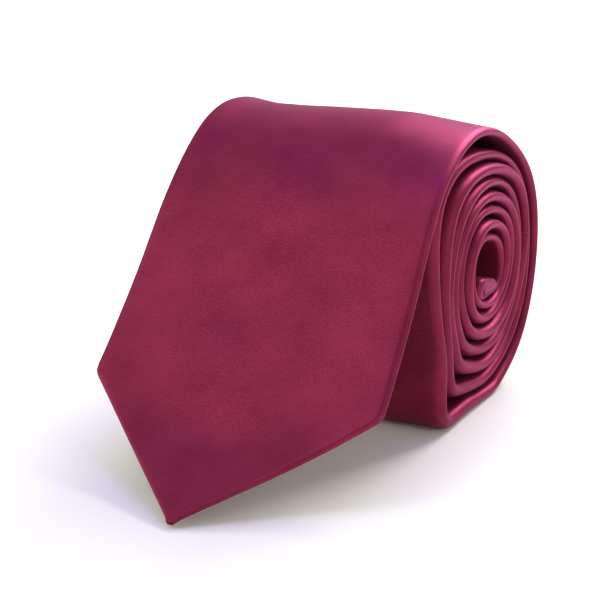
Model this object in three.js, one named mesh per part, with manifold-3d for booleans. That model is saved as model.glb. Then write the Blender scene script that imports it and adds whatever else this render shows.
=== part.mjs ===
// A sewn satin necktie, rolled up from its tail, with the blade laid out in front of the roll.
// Millimetres, +Z up. X runs along the roll, Y points back, away from the blade's tip.
// The origin is on the table, straight below the roll's axis.
//
// Every cloth is a strip that follows one path: from the blade's tip up to the top of the roll,
// and then round and round to the tail at the core. "Along" is the distance from the blade's
// tip, "depth" the distance below the tie's front face.

import * as THREE from 'three';
import Module from 'manifold-3d';

const wasm = await Module();
wasm.setup();

// Cloth thicknesses, and the gap kept between neighbouring cloths.
const SATIN = 0.35;
const INTERLINING = 1.1;
const LINING = 0.2;
const GAP = 0.3;
const FOLD_GAP = 0.7;
const TIE_THICKNESS = 2 * SATIN + 2 * GAP + INTERLINING;
const INTERLINING_TOP = SATIN + GAP;
const INTERLINING_BOTTOM = INTERLINING_TOP + INTERLINING;

// The tie's outline, laid flat.
const TIP_HALF_WIDTH = 0.8;
const POINT_LENGTH = 38;
const BLADE_HALF_WIDTH = 40;
const BLADE_TAPER = 0.0305;
const NECK_HALF_WIDTH = 17.5;
const NECK_END = 950;
const TAIL_HALF_WIDTH = 24;
const TAIL_POINT_LENGTH = 22;
const ROLL_EDGE = 36.9;

// The roll: its section's centre and mean radius, at the outside and at the core.
const ROLL_CENTRE_Z = 39;
const ROLL_RADIUS = 40.2;
const CORE_CENTRE_Y = -0.7;
const CORE_CENTRE_Z = 38.8;
const CORE_RADIUS = 9.2;
const CORE_OVAL = 1.9;
const CORE_TILT_DEG = -8;
const TURNS_TO_CORE = 7.6;
const TURNS = 7.45;
const STEPS_PER_TURN = 20;
const ROLL_START_DEG = 99;
// Where the outer turns bulge or are pressed in: angle and half-width in degrees, height in
// millimetres. Each fades towards the core at its own rate, so the inner turns are rounder.
const ROLL_BULGES = [
  { angle: -132, height: 14.5, halfWidth: 15, fade: 4 },
  { angle: -112, height: 4, halfWidth: 15, fade: 4 },
  { angle: -90, height: 2.7, halfWidth: 15, fade: 4 },
  { angle: 141, height: 12.3, halfWidth: 28, fade: 4 },
  { angle: 59, height: -5, halfWidth: 36, fade: 12 },
];
// The inner turns sag a little below the first at the top, which leaves room for the keeper.
const TOP_SLACK = 4;
const TOP_SLACK_DEG = 75;
const TOP_SLACK_HALF_WIDTH = 42;

// The free blade's side view, from the tip to where it meets the roll's top, as [y, z].
const BLADE_PROFILE = [
  [-113.8, 2.2], [-87.7, 18.6], [-65.4, 41.2], [-45.1, 65.9], [-32.1, 75.0], [-19.0, 78.7],
];
const STEPS_PER_SPAN = 2;

// The tail's end is folded over at the front of the core, and its point lies back across it.
const TAIL_FOLD = { y: -5.2, z: 34.1, radius: 2.9, from: 262, to: 90, steps: 5 };
const TAIL_TIP = [6.6, 36.6];

// Pieces along the tie.
const BORDER = 10;
const CORNER_BORDER = 8;
const TIP_CLOSED = 8;
const TIP_HEM = 0.14;
const VEE_TOP = 104;
const TAIL_VEE = 60;
const SLIT = 0.9;
const THREAD = 0.3;
const BLADE_SEAM = 660;
const TAIL_SEAM = 1060;
const TAIL_SPLIT = 1268.5;
const SPLIT_GAP = 0.4;
const SEAM_THREAD = 0.4;
const INTERLINING_JOIN = 840;
const INTERLINING_START = 12;
const INTERLINING_TAIL_INSET = 24;
const TIPPING_START = 14;
const TIPPING_END = 116;
const TAIL_TIPPING = 70;
const TIPPING_INSET = 4;
const STEP_START = 1;
const STEP_LENGTH = 2;
const BAR_TACK = { start: 105, length: 3, halfWidth: 4, thickness: 0.5 };
const STITCH_START = 110;
const KEEPER = { start: 150, length: 12, halfWidth: 20, thickness: 0.6 };
const KEEPER_TACK = { margin: 2, width: 0.8, thickness: 0.4 };
const LABEL = { start: 168, length: 26, halfWidth: 30, thickness: 0.25 };
const LABEL_STITCH = { width: 0.5, thickness: 0.2 };
const CARE_LABEL = { start: 200, length: 25, halfWidth: 8, thickness: 0.2 };

const SATIN_LOOK = { color: 0x8c2d4b, roughness: 0.42, metalness: 0 };
const INTERLINING_LOOK = { color: 0xe8e2d4, roughness: 0.95, metalness: 0 };
const LINING_LOOK = { color: 0x6d2340, roughness: 0.6, metalness: 0 };
const LABEL_LOOK = { color: 0x3d1730, roughness: 0.7, metalness: 0 };
const THREAD_LOOK = { color: 0x7a2745, roughness: 0.7, metalness: 0 };

// ---- The path ----

function bulge(degrees, centre, height, halfWidth) {
  const apart = THREE.MathUtils.euclideanModulo(degrees - centre + 180, 360) - 180;
  return height * Math.exp(-((apart / halfWidth) ** 2));
}

function rollPoint(turned) {
  const degrees = ROLL_START_DEG - 360 * turned;
  const angle = THREE.MathUtils.degToRad(degrees);
  const inward = turned / TURNS_TO_CORE;
  let bulges = 0;
  for (const { angle: centre, height, halfWidth, fade } of ROLL_BULGES) {
    bulges += bulge(degrees, centre, height, halfWidth) * (1 - inward) ** fade;
  }
  const sag = bulge(degrees, TOP_SLACK_DEG, TOP_SLACK, TOP_SLACK_HALF_WIDTH);
  const slack = sag * THREE.MathUtils.smoothstep(turned, 0.5, 1) * (1 - inward);
  const tilted = angle - THREE.MathUtils.degToRad(CORE_TILT_DEG);
  const core = CORE_RADIUS + CORE_OVAL * Math.cos(2 * tilted);
  const round = THREE.MathUtils.lerp(ROLL_RADIUS, core, inward);
  const radius = round + bulges - slack;
  const y = CORE_CENTRE_Y * inward + radius * Math.cos(angle);
  const z = THREE.MathUtils.lerp(ROLL_CENTRE_Z, CORE_CENTRE_Z, inward) + radius * Math.sin(angle);
  return new THREE.Vector2(y, turned < 1 ? Math.max(z, 0) : z);
}

function bladePoints() {
  const guide = BLADE_PROFILE.map(([y, z]) => new THREE.Vector2(y, z));
  guide.push(rollPoint(0), rollPoint(1 / STEPS_PER_TURN));
  const curve = new THREE.SplineCurve(guide);
  const spans = guide.length - 1;
  const points = [];
  for (let i = 0; i < BLADE_PROFILE.length * STEPS_PER_SPAN; i += 1) {
    points.push(curve.getPoint(i / (spans * STEPS_PER_SPAN)));
  }
  return points;
}

const path = bladePoints();
const FIRST_ROLL_POINT = path.length;
for (let step = 0; step <= TURNS * STEPS_PER_TURN; step += 1) {
  path.push(rollPoint(step / STEPS_PER_TURN));
}
for (let step = 0; step <= TAIL_FOLD.steps; step += 1) {
  const degrees = THREE.MathUtils.lerp(TAIL_FOLD.from, TAIL_FOLD.to, step / TAIL_FOLD.steps);
  const angle = THREE.MathUtils.degToRad(degrees);
  const y = TAIL_FOLD.y + TAIL_FOLD.radius * Math.cos(angle);
  path.push(new THREE.Vector2(y, TAIL_FOLD.z + TAIL_FOLD.radius * Math.sin(angle)));
}
path.push(new THREE.Vector2(...TAIL_TIP));

const along = [0];
for (let i = 1; i < path.length; i += 1) {
  along.push(along[i - 1] + path[i].distanceTo(path[i - 1]));
}
const LENGTH = along[along.length - 1];
const HINGE = along[FIRST_ROLL_POINT];

function outwardOf(i) {
  const run = path[i + 1].clone().sub(path[i]).normalize();
  return new THREE.Vector2(-run.y, run.x);
}

// Mitred normals keep a parallel strip's thickness on both sides of each fold line.
const normals = path.map((_, i) => {
  if (i === 0) return outwardOf(0);
  if (i === path.length - 1) return outwardOf(i - 1);
  const before = outwardOf(i - 1);
  const after = outwardOf(i);
  return before.clone().add(after).divideScalar(1 + before.dot(after));
});

function pointAt(distance, depth) {
  let i = 0;
  while (i < path.length - 2 && along[i + 1] < distance) i += 1;
  const share = (distance - along[i]) / (along[i + 1] - along[i]);
  const point = path[i].clone().lerp(path[i + 1], share);
  const normal = normals[i].clone().lerp(normals[i + 1], share);
  return point.addScaledVector(normal, -depth);
}

// ---- The outline ----

function halfWidth(distance) {
  const fromTail = LENGTH - distance;
  if (distance < POINT_LENGTH) {
    return THREE.MathUtils.lerp(TIP_HALF_WIDTH, BLADE_HALF_WIDTH, distance / POINT_LENGTH);
  }
  if (fromTail < TAIL_POINT_LENGTH) {
    return THREE.MathUtils.lerp(TIP_HALF_WIDTH, TAIL_HALF_WIDTH, fromTail / TAIL_POINT_LENGTH);
  }
  if (distance < NECK_END) {
    return Math.max(BLADE_HALF_WIDTH - BLADE_TAPER * (distance - POINT_LENGTH), NECK_HALF_WIDTH);
  }
  const widening = (distance - NECK_END) / (LENGTH - TAIL_POINT_LENGTH - NECK_END);
  return THREE.MathUtils.lerp(NECK_HALF_WIDTH, TAIL_HALF_WIDTH, widening);
}

// The blade lies square to the roll. Once rolled, the tie keeps its right edge flush, so its
// middle moves towards that edge as it gets narrower, and back at the tail's point.
function middle(distance) {
  const square = Math.min(distance, LENGTH - TAIL_POINT_LENGTH);
  return Math.max(0, ROLL_EDGE - halfWidth(square)) * (distance < POINT_LENGTH ? 0 : 1);
}

function veeHalfWidth(distance) {
  const fromTail = LENGTH - distance;
  const narrow = SLIT / 2;
  const width = halfWidth(distance);
  const blade = pointedVee(distance, POINT_LENGTH, VEE_TOP, width);
  const tail = pointedVee(fromTail, TAIL_POINT_LENGTH, TAIL_VEE, width);
  return Math.max(narrow, blade, tail);
}

function pointedVee(fromTip, pointLength, top, width) {
  if (fromTip > top) return 0;
  if (fromTip < pointLength) return width - BORDER;
  const share = (fromTip - pointLength) / (top - pointLength);
  return THREE.MathUtils.lerp(width - CORNER_BORDER, SLIT / 2, Math.min(1, share));
}

function tippingHalfWidth(distance) {
  return Math.max(halfWidth(distance) - TIPPING_INSET, SLIT);
}

// ---- Strips ----

// Distances where an edge or a thickness turns a corner.
const corners = [
  TIP_CLOSED, BORDER, POINT_LENGTH, VEE_TOP, TIPPING_END + STEP_START,
  TIPPING_END + STEP_START + STEP_LENGTH, NECK_END,
  LENGTH - TAIL_TIPPING - STEP_START - STEP_LENGTH, LENGTH - TAIL_TIPPING - STEP_START,
  LENGTH - TAIL_VEE, LENGTH - TAIL_POINT_LENGTH, LENGTH - BORDER, LENGTH - TIP_CLOSED,
];

function stationsBetween(start, end) {
  const inside = [...along, ...corners].filter((s) => s > start + 0.05 && s < end - 0.05);
  return [...new Set([start, ...inside, end])].sort((a, b) => a - b);
}

// Joins one section after another into a closed solid. A section is a loop of [x, depth].
function loft(start, end, sectionAt) {
  const distances = stationsBetween(start, end);
  const vertices = [];
  for (const distance of distances) {
    for (const [x, depth] of sectionAt(distance)) {
      const point = pointAt(distance, depth);
      vertices.push(x, point.x, point.y);
    }
  }
  const firstLoop = sectionAt(start).map(([x, depth]) => new THREE.Vector2(x, depth));
  const sides = firstLoop.length;
  const lastLoop = (distances.length - 1) * sides;
  const triangles = [];
  for (let i = 0; i < lastLoop; i += sides) {
    for (let side = 0; side < sides; side += 1) {
      const a = i + side;
      const b = i + ((side + 1) % sides);
      triangles.push(a, b, b + sides, a, b + sides, a + sides);
    }
  }
  for (const [a, b, c] of THREE.ShapeUtils.triangulateShape(firstLoop, [])) {
    triangles.push(a, c, b, lastLoop + a, lastLoop + b, lastLoop + c);
  }
  const mesh = new wasm.Mesh({
    numProp: 3,
    vertProperties: new Float32Array(vertices),
    triVerts: new Uint32Array(triangles),
  });
  return new wasm.Manifold(mesh);
}

// A flat strip from one distance to another, between two depths. Its edges are half a width
// either side of the tie's middle, with an optional shift. Each measure is a number or a
// function of the distance.
function strip(start, end, top, bottom, width, shift = 0) {
  const valueAt = (value, distance) => (typeof value === 'function' ? value(distance) : value);
  return loft(start, end, (distance) => {
    const left = middle(distance) + shift - valueAt(width, distance);
    const right = middle(distance) + shift + valueAt(width, distance);
    const upper = valueAt(top, distance);
    const lower = valueAt(bottom, distance);
    return [[left, upper], [right, upper], [right, lower], [left, lower]];
  });
}

// A strip sewn on the tie's back, above the back folds.
function backStrip(piece, width = piece.halfWidth, shift = 0) {
  const top = TIE_THICKNESS + GAP;
  return strip(piece.start, piece.start + piece.length, top, top + piece.thickness, width, shift);
}

// ---- Shells: satin folded round to the back, open up the middle ----

function foldedSection(distance) {
  const centre = middle(distance);
  const left = centre - halfWidth(distance);
  const right = centre + halfWidth(distance);
  const slit = veeHalfWidth(distance);
  const backFold = TIE_THICKNESS - SATIN;
  return [
    [left, 0], [right, 0], [right, TIE_THICKNESS], [centre + slit, TIE_THICKNESS],
    [centre + slit, backFold], [right - SATIN, backFold], [right - SATIN, SATIN],
    [left + SATIN, SATIN], [left + SATIN, backFold], [centre - slit, backFold],
    [centre - slit, TIE_THICKNESS], [left, TIE_THICKNESS],
  ];
}

// The folded hems thicken the blade's very tip, which rests on the table.
function bladeTipBottom(distance) {
  return TIE_THICKNESS + TIP_HEM * (1 - distance / TIP_CLOSED);
}

// The satin's hems meet at each tip, where the shell is closed.
function shell(start, end) {
  const hollowStart = start === 0 ? TIP_CLOSED : start;
  const hollowEnd = end === LENGTH ? LENGTH - TIP_CLOSED : end;
  let solid = loft(hollowStart, hollowEnd, foldedSection);
  if (hollowStart > start) {
    solid = solid.add(strip(start, hollowStart, 0, bladeTipBottom, halfWidth));
  }
  if (hollowEnd < end) {
    solid = solid.add(strip(hollowEnd, end, 0, TIE_THICKNESS, halfWidth));
  }
  return solid;
}

function seamThread(seam) {
  return shell(seam - SEAM_THREAD / 2, seam + SEAM_THREAD / 2);
}

// ---- Inner cloths ----

const interliningWidth = (distance) => halfWidth(distance) - SATIN - FOLD_GAP;

// The interlining is thinner where a tipping lies behind it.
function interliningBottom(distance) {
  const past = Math.min(distance - TIPPING_END, LENGTH - TAIL_TIPPING - distance) - STEP_START;
  const share = THREE.MathUtils.clamp(past / STEP_LENGTH, 0, 1);
  return THREE.MathUtils.lerp(INTERLINING_BOTTOM - LINING - GAP, INTERLINING_BOTTOM, share);
}

function interlining(start, end) {
  return strip(start, end, INTERLINING_TOP, interliningBottom, interliningWidth);
}

function tipping(start, end) {
  return strip(start, end, INTERLINING_BOTTOM - LINING, INTERLINING_BOTTOM, tippingHalfWidth);
}

function slipStitch(start, end) {
  return strip(start, end, TIE_THICKNESS - THREAD, TIE_THICKNESS, THREAD / 2);
}

// ---- Assembly ----

function meshFrom(name, solid, look) {
  const { numProp, vertProperties, triVerts } = solid.getMesh();
  const geometry = new THREE.BufferGeometry();
  geometry.setAttribute('position', new THREE.BufferAttribute(vertProperties, numProp));
  geometry.setIndex(new THREE.BufferAttribute(triVerts, 1));
  geometry.computeVertexNormals();
  const mesh = new THREE.Mesh(geometry, new THREE.MeshStandardMaterial(look));
  mesh.name = name;
  return mesh;
}

const ROLLED = HINGE + GAP;
const SEAM_CUT = SEAM_THREAD / 2 + GAP;
const TAIL_STITCH_END = LENGTH - TAIL_VEE - 6;
const keeperShift = KEEPER.halfWidth + GAP + KEEPER_TACK.width / 2;
const keeperTack = {
  start: KEEPER.start + KEEPER_TACK.margin,
  length: KEEPER.length - 2 * KEEPER_TACK.margin,
  thickness: KEEPER_TACK.thickness,
};
const labelShift = LABEL.halfWidth + GAP + LABEL_STITCH.width / 2;
const labelStitch = { ...LABEL, thickness: LABEL_STITCH.thickness };
const tailTack = { ...BAR_TACK, start: LENGTH - TAIL_VEE - 1 - BAR_TACK.length };

const group = new THREE.Group();
const add = (name, solid, look) => group.add(meshFrom(name, solid, look));

add('blade_flap_shell', shell(0, HINGE), SATIN_LOOK);
add('blade_wound_shell', shell(ROLLED, BLADE_SEAM - SEAM_CUT), SATIN_LOOK);
add('neck_shell', shell(BLADE_SEAM + SEAM_CUT, TAIL_SEAM - SEAM_CUT), SATIN_LOOK);
add('tail_shell', shell(TAIL_SEAM + SEAM_CUT, TAIL_SPLIT), SATIN_LOOK);
add('tail_end_shell', shell(TAIL_SPLIT + SPLIT_GAP, LENGTH), SATIN_LOOK);
add('blade_neck_seam', seamThread(BLADE_SEAM), THREAD_LOOK);
add('neck_tail_seam', seamThread(TAIL_SEAM), THREAD_LOOK);

add('flap_interlining', interlining(INTERLINING_START, HINGE), INTERLINING_LOOK);
add('blade_interlining', interlining(ROLLED, INTERLINING_JOIN), INTERLINING_LOOK);
add(
  'tail_interlining',
  interlining(INTERLINING_JOIN + GAP, LENGTH - INTERLINING_TAIL_INSET),
  INTERLINING_LOOK,
);
add('blade_tipping', tipping(TIPPING_START, TIPPING_END), LINING_LOOK);
add('tail_tipping', tipping(LENGTH - TAIL_TIPPING, LENGTH - TIPPING_START), LINING_LOOK);

add('flap_slip_stitch', slipStitch(STITCH_START, HINGE), THREAD_LOOK);
add('wound_slip_stitch', slipStitch(ROLLED, TAIL_STITCH_END), THREAD_LOOK);
add('blade_bar_tack', backStrip(BAR_TACK), THREAD_LOOK);
add('tail_bar_tack', backStrip(tailTack), THREAD_LOOK);

add('keeper_loop', backStrip(KEEPER), SATIN_LOOK);
add('keeper_tack_left', backStrip(keeperTack, KEEPER_TACK.width / 2, -keeperShift), THREAD_LOOK);
add('keeper_tack_right', backStrip(keeperTack, KEEPER_TACK.width / 2, keeperShift), THREAD_LOOK);
add('label', backStrip(LABEL), LABEL_LOOK);
add('label_stitch_left', backStrip(labelStitch, LABEL_STITCH.width / 2, -labelShift), THREAD_LOOK);
add('label_stitch_right', backStrip(labelStitch, LABEL_STITCH.width / 2, labelShift), THREAD_LOOK);
add('care_label', backStrip(CARE_LABEL), LABEL_LOOK);

export default group;
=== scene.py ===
# A rolled satin necktie with its blade laid out in front: visual model, studio light and camera.
# Shapes are worked out in millimetres in the CAD's frame and turned into metres in each mesh.
import math

import bpy
import numpy as np
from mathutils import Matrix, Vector


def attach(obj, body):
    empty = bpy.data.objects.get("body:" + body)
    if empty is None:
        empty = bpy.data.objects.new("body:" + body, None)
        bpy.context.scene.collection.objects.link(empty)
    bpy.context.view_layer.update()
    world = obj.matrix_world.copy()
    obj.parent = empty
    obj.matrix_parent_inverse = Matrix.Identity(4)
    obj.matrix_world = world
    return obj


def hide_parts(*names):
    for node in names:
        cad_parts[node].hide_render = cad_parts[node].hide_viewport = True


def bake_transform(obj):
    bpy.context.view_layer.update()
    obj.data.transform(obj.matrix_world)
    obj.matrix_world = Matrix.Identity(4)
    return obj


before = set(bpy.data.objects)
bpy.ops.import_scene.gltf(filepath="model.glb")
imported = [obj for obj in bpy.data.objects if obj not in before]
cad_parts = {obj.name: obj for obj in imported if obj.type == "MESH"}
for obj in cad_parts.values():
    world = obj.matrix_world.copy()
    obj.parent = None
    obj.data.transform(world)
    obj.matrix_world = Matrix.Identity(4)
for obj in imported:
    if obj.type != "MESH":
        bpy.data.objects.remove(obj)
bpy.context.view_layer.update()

MM = 0.001

# ---- The tie, as in the CAD but for the thicknesses and the tail's last few centimetres ----

SATIN = 0.35
POINT_LENGTH = 38.0
BLADE_HALF_WIDTH = 40.0
BLADE_TAPER = 0.0305
NECK_HALF_WIDTH = 17.5
NECK_END = 950.0
TAIL_HALF_WIDTH = 24.0
TAIL_POINT_LENGTH = 5.0
ROLL_EDGE = 36.9
BORDER = 10.0
VEE_TOP = 104.0
TAIL_VEE = 60.0
BLADE_SEAM = 660.0
TAIL_SEAM = 1060.0
INTERLINING_JOIN = 840.0

ROLL_CENTRE_Z = 39.0
ROLL_RADIUS = 40.2
CORE_CENTRE_Y = -0.7
CORE_CENTRE_Z = 38.8
CORE_RADIUS = 9.2
CORE_OVAL = 1.9
CORE_TILT_DEG = -8.0
TURNS_TO_CORE = 7.6
TURNS = 7.45
ROLL_START_DEG = 99.0
BLADE_HINGE_Y = -6.12
# Angle, height, half-width and how fast it fades towards the core.
ROLL_BULGES = [
    (-132, 14.5, 15, 4), (-112, 4, 15, 4), (-90, 2.7, 15, 4), (141, 12.3, 28, 4),
    (59, -5, 36, 12),
]
TOP_SLACK = (75, 4.0, 42)
BLADE_PROFILE = [
    (-113.8, 2.2), (-87.7, 18.6), (-65.4, 41.2), (-45.1, 65.9), (-32.1, 75.0), (-19.0, 78.7),
]
# The tail's end in the core: folded over at the front, it slopes down to the back, and its right
# edge turns down over the gap. The fold is its centre, its radius, and its first and last angle.
TAIL_FOLD = (-6.9, 33.9, 3.1, 262, 74)
TAIL_TIP = (8.2, 33.4)
# The turned-down edge: how deep it reaches at the fold's end and inside the fold, and the
# distances from the tie's end between which it does so.
EDGE_DROP = 4.7
EDGE_DROP_IN_FOLD = 2.95
EDGE_DROP_AT_TIP = 0.3
EDGE_DROP_STEPS = (0, 13.5, 15.5, 25)

# ---- The visual tie's thickness and how unevenly it is wound ----

TIP_THICKNESS = 1.3
FREE_THICKNESS = 2.5
WOUND_THICKNESS = (1.8, 4.6)
LAST_TURN_THICKNESS = 2.4
PRESSED_THICKNESS = 1.3
END_THICKNESS = 1.0
CORNER_ROUNDING = 1.2
# How far the turns wander sideways: size, wavelength over two pi, and phase.
DRIFTS = [(0.45, 31, 0.5), (0.3, 12.7, 2)]
# Turns that sit back from the right end: how far, from and to where along the tie.
RECESSES = [(1.6, 300, 520), (1.0, 760, 900)]
PATH_STEP = 0.5
CLOSED_SLIT = 0.25
# Narrower than this, the hems meet all the way.
NARROW = 6


def lerp(a, b, share):
    return a + (b - a) * share


def smoothstep(value, low, high):
    share = np.clip((np.asarray(value, float) - low) / (high - low), 0, 1)
    return share * share * (3 - 2 * share)


def bulge(degrees, centre, height, half_width):
    apart = (degrees - centre + 180) % 360 - 180
    return height * np.exp(-((apart / half_width) ** 2))


def roll_points(turned):
    """Points of the roll's spiral; turned counts turns from the top of the roll."""
    turned = np.asarray(turned, float)
    degrees = ROLL_START_DEG - 360 * turned
    angle = np.radians(degrees)
    inward = turned / TURNS_TO_CORE
    bulges = sum(bulge(degrees, *one[:3]) * (1 - inward) ** one[3] for one in ROLL_BULGES)
    slack = bulge(degrees, *TOP_SLACK) * smoothstep(turned, 0.5, 1) * (1 - inward)
    core = CORE_RADIUS + CORE_OVAL * np.cos(2 * (angle - math.radians(CORE_TILT_DEG)))
    radius = lerp(ROLL_RADIUS, core, inward) + bulges - slack
    y = CORE_CENTRE_Y * inward + radius * np.cos(angle)
    z = lerp(ROLL_CENTRE_Z, CORE_CENTRE_Z, inward) + radius * np.sin(angle)
    z = np.where(turned < 1, np.maximum(z, 0), z)
    return np.stack([y, z], 1)


def through(points, per_span):
    """A Catmull-Rom curve through the points, without its last span."""
    p = np.asarray(points, float)
    made = []
    for i in range(len(p) - 2):
        a, b, c, d = p[max(i - 1, 0)], p[i], p[i + 1], p[min(i + 2, len(p) - 1)]
        for t in np.arange(per_span) / per_span:
            m0, m1 = (c - a) / 2, (d - b) / 2
            made.append(
                (2 * b - 2 * c + m0 + m1) * t ** 3
                + (-3 * b + 3 * c - 2 * m0 - m1) * t ** 2
                + m0 * t + b
            )
    return np.array(made)


def resample(points, step):
    lengths = np.concatenate([[0], np.cumsum(np.linalg.norm(np.diff(points, axis=0), axis=1))])
    at = np.arange(0, lengths[-1], step)
    return np.stack([np.interp(at, lengths, points[:, k]) for k in (0, 1)], 1)


def blurred(values, width):
    """Gaussian smoothing along the first axis; the ends carry on straight."""
    reach = int(4 * width)
    kernel = np.exp(-0.5 * (np.arange(-reach, reach + 1) / width) ** 2)
    kernel /= kernel.sum()
    head = 2 * values[0] - values[1:reach + 1][::-1]
    tail = 2 * values[-1] - values[-reach - 1:-1][::-1]
    padded = np.concatenate([head, values, tail])
    columns = range(values.shape[1])
    return np.stack([np.convolve(padded[:, k], kernel, "valid") for k in columns], 1)


def build_path():
    start = roll_points([0, 1 / 20])
    flap = through(BLADE_PROFILE + [tuple(start[0]), tuple(start[1])], 40)
    roll = roll_points(np.arange(0, TURNS, 1 / 400))
    points = [flap, roll]
    y, z, radius, first, last = TAIL_FOLD
    turn = np.radians(np.linspace(first, last, 40))
    points.append(np.stack([y + radius * np.cos(turn), z + radius * np.sin(turn)], 1))
    points.append(np.array([TAIL_TIP]))
    rough = resample(np.concatenate(points), PATH_STEP)
    near_end = smoothstep(np.arange(len(rough)), len(rough) - 110, len(rough) - 80)[:, None]
    soft, crisp = blurred(rough, 3.0), blurred(rough, 1.0)
    return lerp(soft, crisp, near_end)


PATH = build_path()
RUN = np.gradient(PATH, axis=0)
RUN /= np.linalg.norm(RUN, axis=1)[:, None]
OUTWARD = np.stack([-RUN[:, 1], RUN[:, 0]], 1)
ALONG = np.concatenate([[0], np.cumsum(np.linalg.norm(np.diff(PATH, axis=0), axis=1))])
LENGTH = ALONG[-1]
HINGE = ALONG[np.argmax(PATH[:, 0] > BLADE_HINGE_Y)]


def on_path(values, s):
    """The values given at the path's points, at the distances s."""
    return np.stack([np.interp(s, ALONG, values[:, k]) for k in (0, 1)], 1)


def spacing(every=4, nearest=40, farthest=300, unknown=3.0):
    """Distance from each point of the path to the turn inside it, found at every few points."""
    found = np.full(len(PATH), unknown)
    for i in range(0, len(PATH), every):
        ahead = ALONG - ALONG[i]
        turn = (ahead > nearest) & (ahead < farthest) & (ALONG > HINGE)
        if ALONG[i] < HINGE or not turn.any():
            continue
        away = PATH[turn] - PATH[i]
        inside = away @ OUTWARD[i] < 0
        if inside.any():
            found[i:i + every] = np.linalg.norm(away[inside], axis=1).min()
    return blurred(found[:, None], 12.0)[:, 0]


SPACING = spacing()


def thickness(s):
    """The tie's thickness from its face to its back: pressed thin in places, puffy in others."""
    s = np.asarray(s, float)
    flap = lerp(TIP_THICKNESS, FREE_THICKNESS, smoothstep(s, 0, 60))
    room = np.interp(s, ALONG, SPACING)
    fill = 0.80 + 0.08 * np.sin(s / 23 + 1) + 0.07 * np.sin(s / 9.1 + 2)
    wound = np.clip(room * fill, *WOUND_THICKNESS)
    from_end = LENGTH - s
    last_turn = lerp(LAST_TURN_THICKNESS, wound, smoothstep(from_end, 100, 130))
    pressed = lerp(PRESSED_THICKNESS, last_turn, smoothstep(from_end, 36, 54))
    point = lerp(END_THICKNESS, pressed, smoothstep(from_end, 4, 9))
    return lerp(flap, point, smoothstep(s, 236, 262))


def half_width(s):
    """Half the tie's width, with its corners slightly rounded."""
    total = 0
    shares = (-1, -0.5, 0, 0.5, 1)
    for share in shares:
        at = np.asarray(s, float) + share * CORNER_ROUNDING
        blade = np.minimum(
            np.interp(at, [-0.6, 0, 1.5, POINT_LENGTH], [0.5, 1.3, 2.6, BLADE_HALF_WIDTH]),
            np.maximum(BLADE_HALF_WIDTH - BLADE_TAPER * (at - POINT_LENGTH), NECK_HALF_WIDTH),
        )
        widening = (at - NECK_END) / (LENGTH - TAIL_POINT_LENGTH - NECK_END)
        tail = np.minimum(
            lerp(NECK_HALF_WIDTH, TAIL_HALF_WIDTH, np.clip(widening, 0, 1)),
            np.interp(LENGTH - at, [-0.6, 0, TAIL_POINT_LENGTH], [0.2, 0.8, TAIL_HALF_WIDTH]),
        )
        total = total + np.where(at < NECK_END, blade, tail)
    return np.maximum(total / len(shares), SATIN)


def bump_between(s, start, end):
    """Rises from 0 to 1 and falls back, between two distances."""
    share = np.clip((s - start) / (end - start), 0, 1)
    return np.sin(math.pi * share) ** 2


def middle(s):
    """X of the tie's middle: the roll's right edge is flush, give or take a little."""
    s = np.asarray(s, float)
    square = np.minimum(s, LENGTH - TAIL_POINT_LENGTH)
    flush = np.maximum(0, ROLL_EDGE - half_width(square)) * (s > POINT_LENGTH)
    drift = sum(size * np.sin(s / length + phase) for size, length, phase in DRIFTS)
    recess = sum(depth * bump_between(s, start, end) for depth, start, end in RECESSES)
    return flush + drift * smoothstep(s, 170, 260) - recess


def vee(s):
    """Half the opening between the hems on the back."""
    w = half_width(s)
    opening = CLOSED_SLIT
    for from_tip, point, top in (
        (s, POINT_LENGTH, VEE_TOP), (LENGTH - s, TAIL_POINT_LENGTH, TAIL_VEE),
    ):
        share = np.clip((from_tip - point) / (top - point), 0, 1)
        wide = np.where(from_tip < point, w - BORDER, lerp(w - BORDER, CLOSED_SLIT, share))
        opening = np.maximum(opening, np.where(from_tip < top, wide, 0))
    return opening


# ---- Meshes ----

SHARP_DEG = 50

# The crest of the roll rides a little high, and unevenly, from side to side: x and height.
CREST = [(-42, 2.6), (-38, 2.9), (-28, 1.4), (-18, 1.5), (-7, 2.0), (6, 2.4), (15, 2.4),
         (25, 1.3), (33, 0.4), (38, 0)]
# Swells and dents of the free blade's face: centre x and s, height, and their half-sizes.
SWELLS = [
    (6, 103, -1.2, 13, 10), (-32, 103, -1.0, 11, 13), (-22, 78, -0.5, 15, 20),
    (-2, 62, -0.8, 16, 12), (2, 24, -0.9, 15, 9), (-12, 44, 0.6, 13, 11), (26, 88, 0.5, 12, 17),
    (-10, 84, 0.7, 14, 12),
]


def ease(x, s):
    """How far the blade's face is out of the smooth path, in millimetres of depth."""
    x, s = np.asarray(x, float), np.asarray(s, float)
    crest = np.interp(x, [one[0] for one in CREST], [one[1] for one in CREST])
    swell = crest * smoothstep(s, 92, 128) * (1 - smoothstep(s, 134, 176))
    for cx, cs, height, rx, rs in SWELLS:
        swell = swell + height * np.exp(-(((x - cx) / rx) ** 2 + ((s - cs) / rs) ** 2))
    return -swell * smoothstep(s, 0, 25) * (1 - smoothstep(s, 150, 176))


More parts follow.
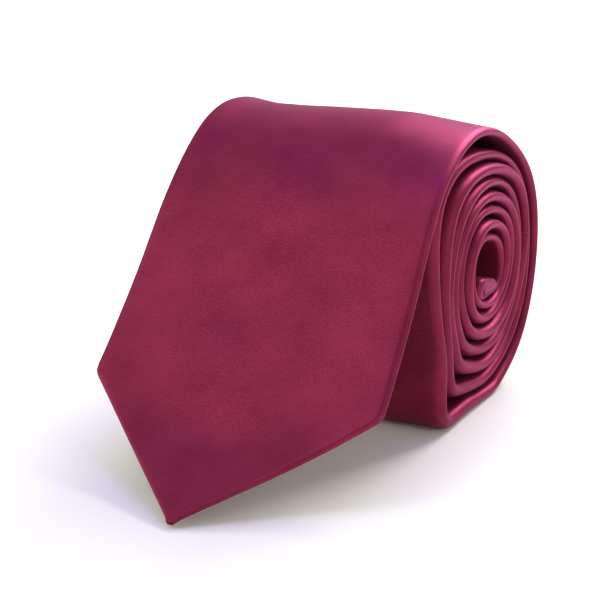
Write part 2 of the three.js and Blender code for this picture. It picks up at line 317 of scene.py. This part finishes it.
def hanging_edge(s, w, thick, bend, x, depth):
    """The right edge of the tail's end, turned down to close the fold in the core."""
    from_end = LENGTH - s
    share = float(smoothstep(from_end, 0.3, 2) * (1 - smoothstep(from_end, 23, 25)))
    drops = (thick + EDGE_DROP_AT_TIP, EDGE_DROP, EDGE_DROP_IN_FOLD, EDGE_DROP_IN_FOLD)
    low = np.interp(from_end, EDGE_DROP_STEPS, drops)
    side = np.array([
        (w - 1.3, 0.02), (w - 0.8, 0.15), (w - 0.35, 0.5), (w - 0.1, 1.0), (w, low * 0.6),
        (w - 0.05, low - 0.4), (w - 0.35, low), (w - 0.7, low - 0.3), (w - 0.75, low * 0.8),
        (w - 0.95, thick + 0.2), (w - bend, thick),
    ])
    return lerp(x, side[:, 0], share), lerp(depth, side[:, 1], share)


def folded_section(s, extra=0.0, top=0.0, bottom=None):
    """Satin folded round to the back at both edges: x from the middle, depth, and distance across.
    extra is how far inside the edge it lies; top and bottom are its depths."""
    w = float(half_width(s)) - extra
    thick = float(thickness(s)) if bottom is None else bottom - top
    slit = min(float(vee(s)), w * 0.9) if w > NARROW else 0.03
    bend = min(thick * 0.75, w * 0.45)
    face = np.linspace(-(w - bend), w - bend, 27)[1:-1]
    turn = np.linspace(0, math.pi, 11)
    right_x = w - bend + bend * np.sin(turn)
    right_d = thick / 2 * (1 - np.cos(turn))
    back = np.linspace(w - bend, slit, 7)[1:]
    hang_x, hang_d = hanging_edge(s, w, thick, bend, right_x, right_d)
    x = np.concatenate([-back[::-1], -right_x[::-1], face, hang_x, back])
    d = np.concatenate([
        np.full(len(back), thick), right_d[::-1], np.zeros(len(face)), hang_d,
        np.full(len(back), thick),
    ])
    across = np.concatenate([[0], np.cumsum(np.hypot(np.diff(x), np.diff(d)))])
    return x, d + top, across - across[-1] / 2


def grid_points(stations, section):
    """Rows of points along the path, in millimetres, and their flat coordinates."""
    rows, flat = [], []
    place = on_path(PATH, stations)
    out = on_path(OUTWARD, stations)
    centre = middle(stations)
    for i, s in enumerate(stations):
        before_start = min(s, 0)
        x, depth, across = section(s)
        depth = depth + ease(x, s)
        y = place[i, 0] - out[i, 0] * depth
        z = place[i, 1] - out[i, 1] * depth
        run = RUN[0] * before_start
        rows.append(np.stack([x + centre[i], y + run[0], z + run[1]], 1))
        flat.append(np.stack([across, np.full(len(x), s)], 1))
    return np.array(rows), np.array(flat)


def normals_of(grid):
    along = np.gradient(grid, axis=0)
    across = np.gradient(grid, axis=1)
    normal = np.cross(across, along)
    length = np.linalg.norm(normal, axis=2)[:, :, None]
    return normal / np.maximum(length, 1e-9)


def cloth(name, grid, flat, thick, material):
    """A closed thin solid: the grid's surface, the same surface thick deeper, and its rims.
    thick is one number, or one for each row."""
    rows, cols = grid.shape[:2]
    inner = grid - normals_of(grid) * np.broadcast_to(thick, rows)[:, None, None]
    points = np.concatenate([grid.reshape(-1, 3), inner.reshape(-1, 3)]) * MM
    index = np.arange(rows * cols).reshape(rows, cols)
    deeper = index + rows * cols
    a, b, c, d = index[:-1, :-1], index[:-1, 1:], index[1:, 1:], index[1:, :-1]
    faces = [np.stack([a, b, c, d], -1).reshape(-1, 4)]
    a, b, c, d = deeper[:-1, :-1], deeper[:-1, 1:], deeper[1:, 1:], deeper[1:, :-1]
    faces.append(np.stack([d, c, b, a], -1).reshape(-1, 4))
    for rim, low in (
        (index[0], deeper[0]), (index[-1][::-1], deeper[-1][::-1]),
        (index[:, -1], deeper[:, -1]), (index[::-1, 0], deeper[::-1, 0]),
    ):
        faces.append(np.stack([rim[1:], rim[:-1], low[:-1], low[1:]], -1))
    faces = np.concatenate(faces)
    uv = np.concatenate([flat.reshape(-1, 2)] * 2)
    obj = mesh_object(name, points, faces.tolist(), uv, material)
    obj.data.set_sharp_from_angle(angle=math.radians(SHARP_DEG))
    return obj


def mesh_object(name, points, faces, uv, material):
    """A smooth mesh in the scene; uv holds one pair for each point."""
    mesh = bpy.data.meshes.new(name)
    mesh.from_pydata(points.tolist(), [], faces)
    layer = mesh.uv_layers.new(name="UVMap")
    corners = np.zeros(len(mesh.loops), int)
    mesh.loops.foreach_get("vertex_index", corners)
    layer.data.foreach_set("uv", uv[corners].astype(np.float32).ravel())
    mesh.polygons.foreach_set("use_smooth", np.ones(len(mesh.polygons), bool))
    mesh.update()
    mesh.validate()
    mesh.materials.append(material)
    obj = bpy.data.objects.new(name, mesh)
    bpy.context.scene.collection.objects.link(obj)
    return obj


def stations_between(start, end, step):
    """Even distances from start to end, about a step apart."""
    count = max(2, int(round((end - start) / step)) + 1)
    return np.linspace(start, end, count)


# ---- Materials ----

THREAD_HEIGHT = 0.00005
LINE_CONTRAST = 0.13
SLUB_CONTRAST = 0.35


def new_material(name):
    material = bpy.data.materials.new(name)
    material.use_nodes = True
    nodes = material.node_tree.nodes
    links = material.node_tree.links
    return material, nodes, links, nodes["Principled BSDF"]


def add(nodes, kind, **inputs):
    """A new node with some of its inputs set."""
    node = nodes.new(kind)
    for name, value in inputs.items():
        node.inputs[name].default_value = value
    return node


def wave_lines(nodes, links, uv, direction, pitch):
    """A sine across the direction, repeating every pitch millimetres of the cloth."""
    dot = nodes.new("ShaderNodeVectorMath")
    dot.operation = "DOT_PRODUCT"
    turn = 2 * math.pi / pitch
    dot.inputs[1].default_value = (direction[0] * turn, direction[1] * turn, 0)
    links.new(uv, dot.inputs[0])
    sine = nodes.new("ShaderNodeMath")
    sine.operation = "SINE"
    links.new(dot.outputs["Value"], sine.inputs[0])
    return sine.outputs[0]


def woven(name, dark, light, pitch, direction, roughness, bump, mottle=18.0):
    """Cloth whose fine lines vary between two colours, with slow changes over its surface."""
    material, nodes, links, shader = new_material(name)
    coords = nodes.new("ShaderNodeUVMap")
    coords.uv_map = "UVMap"
    noise = add(nodes, "ShaderNodeTexNoise", Scale=1 / mottle, Detail=3)
    links.new(coords.outputs["UV"], noise.inputs["Vector"])
    slub = add(nodes, "ShaderNodeTexNoise", Scale=1.2, Detail=2)
    stretch = add(nodes, "ShaderNodeMapping", Scale=(0.25, 2.2, 1))
    links.new(coords.outputs["UV"], stretch.inputs["Vector"])
    links.new(stretch.outputs["Vector"], slub.inputs["Vector"])
    lines = wave_lines(nodes, links, coords.outputs["UV"], direction, pitch)
    mix = nodes.new("ShaderNodeMath")
    mix.operation = "MULTIPLY_ADD"
    mix.inputs[1].default_value = LINE_CONTRAST
    links.new(lines, mix.inputs[0])
    links.new(noise.outputs["Fac"], mix.inputs[2])
    both = nodes.new("ShaderNodeMath")
    both.operation = "MULTIPLY_ADD"
    both.inputs[1].default_value = SLUB_CONTRAST
    links.new(slub.outputs["Fac"], both.inputs[0])
    links.new(mix.outputs[0], both.inputs[2])
    ramp = nodes.new("ShaderNodeValToRGB")
    ramp.color_ramp.elements[0].position = 0.35
    ramp.color_ramp.elements[0].color = (*dark, 1)
    ramp.color_ramp.elements[1].position = 0.95
    ramp.color_ramp.elements[1].color = (*light, 1)
    links.new(both.outputs[0], ramp.inputs["Fac"])
    links.new(ramp.outputs["Color"], shader.inputs["Base Color"])
    bumps = add(nodes, "ShaderNodeBump", Strength=bump, Distance=THREAD_HEIGHT)
    height = nodes.new("ShaderNodeMath")
    height.operation = "ADD"
    links.new(lines, height.inputs[0])
    links.new(slub.outputs["Fac"], height.inputs[1])
    links.new(height.outputs[0], bumps.inputs["Height"])
    links.new(bumps.outputs["Normal"], shader.inputs["Normal"])
    shader.inputs["Roughness"].default_value = roughness
    return material, shader


satin, satin_shader = woven(
    "burgundy_satin", dark=(0.15, 0.010, 0.028), light=(0.26, 0.023, 0.055), pitch=0.55,
    direction=(0.12, 0.993), roughness=0.40, bump=0.2,
)
for socket, value in (
    ("Metallic", 0.55),
    ("Specular IOR Level", 0.35),
    ("Specular Tint", (1.0, 0.35, 0.8, 1)),
    ("Sheen Weight", 0.03),
    ("Sheen Roughness", 0.5),
    ("Sheen Tint", (0.9, 0.3, 0.7, 1)),
):
    satin_shader.inputs[socket].default_value = value

lining, _ = woven(
    "plain_lining", dark=(0.055, 0.006, 0.018), light=(0.10, 0.012, 0.035), pitch=0.4,
    direction=(1, 0), roughness=0.55, bump=0.3,
)
interlining, _ = woven(
    "brushed_wool", dark=(0.50, 0.46, 0.38), light=(0.72, 0.68, 0.58), pitch=1.1,
    direction=(1, 0), roughness=0.95, bump=0.8, mottle=6.0,
)
label_cloth, _ = woven(
    "woven_label", dark=(0.03, 0.008, 0.02), light=(0.07, 0.015, 0.045), pitch=0.35,
    direction=(0, 1), roughness=0.6, bump=0.4,
)
thread, _ = woven(
    "sewing_thread", dark=(0.14, 0.012, 0.04), light=(0.25, 0.025, 0.075), pitch=0.3,
    direction=(0.7, 0.7), roughness=0.6, bump=0.5, mottle=3.0,
)

# ---- The satin ----

HALF_SEAM_GAP = 0.15
CLOTH_OVERHANG = 0.6
# The outer turn and the free blade are one mesh; the wound rest begins where the roll stands.
STANDING = ALONG[(ALONG > HINGE + 100) & (PATH[:, 0] < 3) & (PATH[:, 1] < 5)][0]


def bend_with_blade(obj):
    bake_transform(obj)


def ride_roll(obj):
    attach(obj, "roll")


def soft_strip(name, start, end, step, section, thick, material, nodes, move):
    """One length of cloth along the path, from start to end, in place of the CAD parts named in
    nodes.
    """
    stations = stations_between(start, end, step)
    grid, flat = grid_points(stations, section)
    depth = thick(stations) if callable(thick) else thick
    obj = cloth(name, grid, flat, depth, material)
    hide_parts(*nodes)
    move(obj)
    return obj


for name, start, end, step, nodes, move, on in (
    ("blade_satin", -CLOTH_OVERHANG, STANDING, 1.5, ["blade_flap_shell", "blade_wound_shell"],
     bend_with_blade, "floor"),
    ("blade_wound_satin", STANDING, BLADE_SEAM - HALF_SEAM_GAP, 2.0, ["blade_wound_shell"],
     ride_roll, "blade_satin"),
    ("neck_satin", BLADE_SEAM + HALF_SEAM_GAP, TAIL_SEAM - HALF_SEAM_GAP, 2.0, ["neck_shell"],
     ride_roll, "blade_wound_satin"),
    ("tail_satin", TAIL_SEAM + HALF_SEAM_GAP, LENGTH + CLOTH_OVERHANG, 1.6,
     ["tail_shell", "tail_end_shell"], ride_roll, "neck_satin"),
):
    soft_strip(name, start, end, step, folded_section, SATIN, satin, nodes, move)


SEAM_DEPTH = 0.1
SEAM_HALF_LENGTH = 0.5


def seam_section(s):
    """The seam's stitching follows the satin, a little way inside it."""
    return folded_section(
        s, extra=SEAM_DEPTH, top=SEAM_DEPTH, bottom=float(thickness(s)) - SEAM_DEPTH,
    )


for name, seam in (("blade_neck_seam", BLADE_SEAM), ("neck_tail_seam", TAIL_SEAM)):
    stations = stations_between(seam - SEAM_HALF_LENGTH, seam + SEAM_HALF_LENGTH, 0.25)
    grid, flat = grid_points(stations, seam_section)
    obj = cloth(name + "_stitching", grid, flat, 0.2, thread)
    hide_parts(name)
    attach(obj, "roll")

# ---- What is inside and behind the satin ----

PADDING_INSET = 1.3
LINING_INSET = 4.0
LINING_DEPTH = 0.62


def inner_section(inset, depth):
    """A flat cloth inside the satin, inset from its edges, at a depth that follows the tie."""
    def section(s):
        half = max(float(half_width(s)) - inset, 0.4)
        x = np.linspace(-half, half, 15)
        return x, np.full(len(x), float(depth(s))), x
    return section


def padding_thick(s):
    return np.clip(thickness(s) - 1.0, 0.25, 1.0)


def padding_depth(s):
    """Puts the interlining about halfway between the face and the back."""
    return (float(thickness(s)) - float(padding_thick(s))) / 2 - 0.05


def lining_depth(s):
    return float(thickness(s)) - LINING_DEPTH


padding = inner_section(PADDING_INSET, padding_depth)
for name, start, end, nodes, move in (
    ("blade_padding", 15.0, STANDING, ["flap_interlining", "blade_interlining"], bend_with_blade),
    ("wound_padding", STANDING, INTERLINING_JOIN - 0.1, ["blade_interlining"], ride_roll),
    ("tail_padding", INTERLINING_JOIN + 0.1, LENGTH - 16, ["tail_interlining"], ride_roll),
):
    soft_strip(name, start, end, 2.0, padding, padding_thick, interlining, nodes,
               move)

behind_hem = inner_section(LINING_INSET, lining_depth)
soft_strip("blade_lining", 8.0, 116.0, 1.5, behind_hem, 0.18, lining,
           ["blade_tipping"], bend_with_blade)
soft_strip("tail_lining", LENGTH - 60, LENGTH - 9, 1.5, behind_hem, 0.12, lining,
           ["tail_tipping"], ride_roll)


# A direction that no thread runs along, to square the tubes' rings on.
ACROSS_THREADS = (0.31, 0.52, 0.79)


def tube(rings, radius, sides=6):
    """Points and faces of a small thread along the given points, with rounded ends."""
    rings = np.asarray(rings, float)
    run = np.gradient(rings, axis=0)
    run /= np.linalg.norm(run, axis=1)[:, None]
    side = np.cross(run, ACROSS_THREADS)
    side /= np.linalg.norm(side, axis=1)[:, None]
    up = np.cross(run, side)
    share = np.linspace(-1, 1, len(rings))
    wide = radius * np.sqrt(np.maximum(1 - share ** 6, 0.08))
    turn = np.arange(sides) * 2 * math.pi / sides
    points = np.concatenate([
        rings[i] + wide[i] * (np.cos(turn)[:, None] * side[i] + np.sin(turn)[:, None] * up[i])
        for i in range(len(rings))
    ])
    faces = []
    for i in range(len(rings) - 1):
        for k in range(sides):
            a, b = i * sides + k, i * sides + (k + 1) % sides
            faces.append([a, b, b + sides, a + sides])
    last = len(points) - sides
    faces.append(list(range(sides))[::-1])
    faces.append([last + k for k in range(sides)])
    return points, faces


def stitches(name, ends, radius, nodes, move, lift=0.12):
    """Short threads from one (x, along) to another, lying on the tie's back."""
    points, faces = [], []
    for (x0, s0), (x1, s1), height in ends:
        share = np.linspace(0, 1, 7)
        s = lerp(s0, s1, share)
        x = lerp(x0, x1, share)
        arch = lift * np.sin(math.pi * share) + height
        depth = thickness(s) + arch + ease(x, s)
        where = on_path(PATH, s) - on_path(OUTWARD, s) * depth[:, None]
        line = np.stack([x + middle(s), where[:, 0], where[:, 1]], 1)
        ring_points, ring_faces = tube(line, radius)
        faces += [[index + len(points) for index in face] for face in ring_faces]
        points += ring_points.tolist()
    points = np.array(points)
    obj = mesh_object(name, points * MM, faces, points[:, :2], thread)
    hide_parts(*nodes)
    move(obj)
    return obj


# Where the two bar tacks and the slip stitch are, along the tie.
BLADE_TACK = 105
TAIL_TACK = LENGTH - 64
SLIP_STITCH_START = 110
SLIP_STITCH_END = LENGTH - 66
SLIP_STITCH_PITCH = 6.5
HINGE_CLEARANCE = 2


def slip_stitches(start, end):
    """Slanted stitches that draw the two hems together down the middle of the back."""
    return [((-0.7, s), (0.7, s + 1.1), 0) for s in np.arange(start, end, SLIP_STITCH_PITCH)]


def bar_tack(start):
    """Threads across the middle, and short ones wrapped over them: two ends and a height."""
    across = [((-4.0, start + k), (4.0, start + k), 0.05) for k in (0.8, 1.5, 2.2)]
    wraps = [((x, start), (x + 0.25, start + 3.0), 0.22) for x in np.arange(-3.9, 3.9, 0.62)]
    return across + wraps


stitches("flap_stitching", slip_stitches(SLIP_STITCH_START, HINGE - HINGE_CLEARANCE), 0.13,
         ["flap_slip_stitch"], bend_with_blade)
stitches("wound_stitching", slip_stitches(HINGE + HINGE_CLEARANCE, SLIP_STITCH_END), 0.13,
         ["wound_slip_stitch"], ride_roll)
stitches("blade_tack", bar_tack(BLADE_TACK), 0.16, ["blade_bar_tack"], bend_with_blade)
stitches("tail_tack", bar_tack(TAIL_TACK), 0.14, ["tail_bar_tack"], ride_roll)


PATCH_GAP = 0.12


def patch(name, start, length, half, thick, material, node, round_edge=0.0):
    """A small cloth sewn on the tie's back; round_edge is how far its ends curve down to it."""
    def section(s):
        x = np.linspace(-half, half, 21)
        curve = round_edge * (np.abs(x) / half) ** 8
        return x, float(thickness(s)) + PATCH_GAP + round_edge - curve, x
    stations = stations_between(start, start + length, 1.5)
    grid, flat = grid_points(stations, section)
    obj = cloth(name, grid, flat, thick, material)
    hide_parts(node)
    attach(obj, "roll")
    return obj


patch("keeper", start=150, length=12, half=20, thick=0.55, material=satin,
      node="keeper_loop", round_edge=0.25)
patch("maker_label", start=168, length=26, half=30, thick=0.22, material=label_cloth,
      node="label")
patch("care_tag", start=200, length=25, half=8, thick=0.18, material=label_cloth,
      node="care_label")


def cross_tack(x, start, end):
    """A column of small slanted stitches at one side of a patch."""
    return [((x - 0.4, s), (x + 0.5, s + 0.9), 0.25) for s in np.arange(start, end - 0.9, 1.3)]


for name, x, start, end in (
    ("keeper_tack_left", -20.5, 152, 160), ("keeper_tack_right", 20.5, 152, 160),
    ("label_stitch_left", -30.4, 169, 193), ("label_stitch_right", 30.4, 169, 193),
):
    stitches(name + "_thread", cross_tack(x, start, end), 0.11, [name], ride_roll)

# ---- Floor, light and camera ----

FLOOR = 6
floor_mesh = bpy.data.meshes.new("floor")
corners = [(-FLOOR, -FLOOR, 0), (FLOOR, -FLOOR, 0), (FLOOR, FLOOR, 0), (-FLOOR, FLOOR, 0)]
floor_mesh.from_pydata(corners, [], [(0, 1, 2, 3)])
floor = bpy.data.objects.new("floor", floor_mesh)
bpy.context.scene.collection.objects.link(floor)
floor_look, _, _, floor_shader = new_material("pale_floor")
floor_shader.inputs["Base Color"].default_value = (0.93, 0.96, 0.87, 1)
floor_shader.inputs["Roughness"].default_value = 0.8
floor_mesh.materials.append(floor_look)


def area_light(name, location, target, size, power, colour, size_y=None):
    """A rectangular light aimed at a point; metres and watts."""
    data = bpy.data.lights.new(name, "AREA")
    data.shape = "RECTANGLE"
    data.size = size
    data.size_y = size_y or size
    data.energy = power
    data.color = colour
    light = bpy.data.objects.new(name, data)
    light.location = location
    direction = Vector(target) - Vector(location)
    light.rotation_mode = "QUATERNION"
    light.rotation_quaternion = direction.to_track_quat("-Z", "Y")
    bpy.context.scene.collection.objects.link(light)
    return light


area_light("back_softbox", location=(0.1, 0.7, 0.6), target=(0, 0, 0.06), size=0.55,
           power=10.5, colour=(1.0, 0.95, 0.95))
area_light("high_key", location=(-0.32, -0.45, 1.05), target=(0, -0.04, 0.06), size=0.35,
           power=1.3, colour=(1.0, 0.98, 0.92))
area_light("violet_strip", location=(0, 0.04, 1.0), target=(0, -0.02, 0.06), size=0.6,
           power=1.9, colour=(0.3, 0.12, 1.0), size_y=0.14)
area_light("left_key", location=(-1.0, -0.7, 0.6), target=(0, -0.03, 0.04), size=0.6,
           power=4.5, colour=(1.0, 1.0, 0.92))
area_light("right_fill", location=(1.0, -0.5, 0.5), target=(0, 0, 0.04), size=0.6,
           power=2.0, colour=(1.0, 0.99, 0.96))

# A pale studio with a dim violet ceiling, which the satin picks up below the roll's crest.
world = bpy.data.worlds.new("studio")
world.use_nodes = True
nodes, links = world.node_tree.nodes, world.node_tree.links
direction = nodes.new("ShaderNodeTexCoord")
apart = nodes.new("ShaderNodeSeparateXYZ")
links.new(direction.outputs["Generated"], apart.inputs["Vector"])
sky = nodes.new("ShaderNodeValToRGB")
sky.color_ramp.interpolation = "EASE"
sky.color_ramp.elements[0].position = 0.80
sky.color_ramp.elements[0].color = (1.0, 0.99, 0.97, 1)
sky.color_ramp.elements[1].position = 0.985
sky.color_ramp.elements[1].color = (0.16, 0.08, 0.70, 1)
links.new(apart.outputs["Z"], sky.inputs["Fac"])
links.new(sky.outputs["Color"], nodes["Background"].inputs["Color"])
nodes["Background"].inputs["Strength"].default_value = 0.6
bpy.context.scene.world = world
bpy.context.scene.view_settings.view_transform = "Standard"

AZIMUTH = 26.0
ELEVATION = 17.36
DISTANCE = 0.4954
LOOK_AT = Vector((-0.01187, -0.018, 0.02645))
camera_data = bpy.data.cameras.new("camera")
camera_data.lens = 105.3
camera_data.sensor_width = 36
camera_data.clip_start = 0.01
camera = bpy.data.objects.new("camera", camera_data)
azimuth, elevation = math.radians(AZIMUTH), math.radians(ELEVATION)
back_off = Vector((
    math.sin(azimuth) * math.cos(elevation), -math.cos(azimuth) * math.cos(elevation),
    math.sin(elevation),
))
camera.location = LOOK_AT + back_off * DISTANCE
camera.rotation_mode = "QUATERNION"
camera.rotation_quaternion = (-back_off).to_track_quat("-Z", "Y")
bpy.context.scene.collection.objects.link(camera)
bpy.context.scene.camera = camera
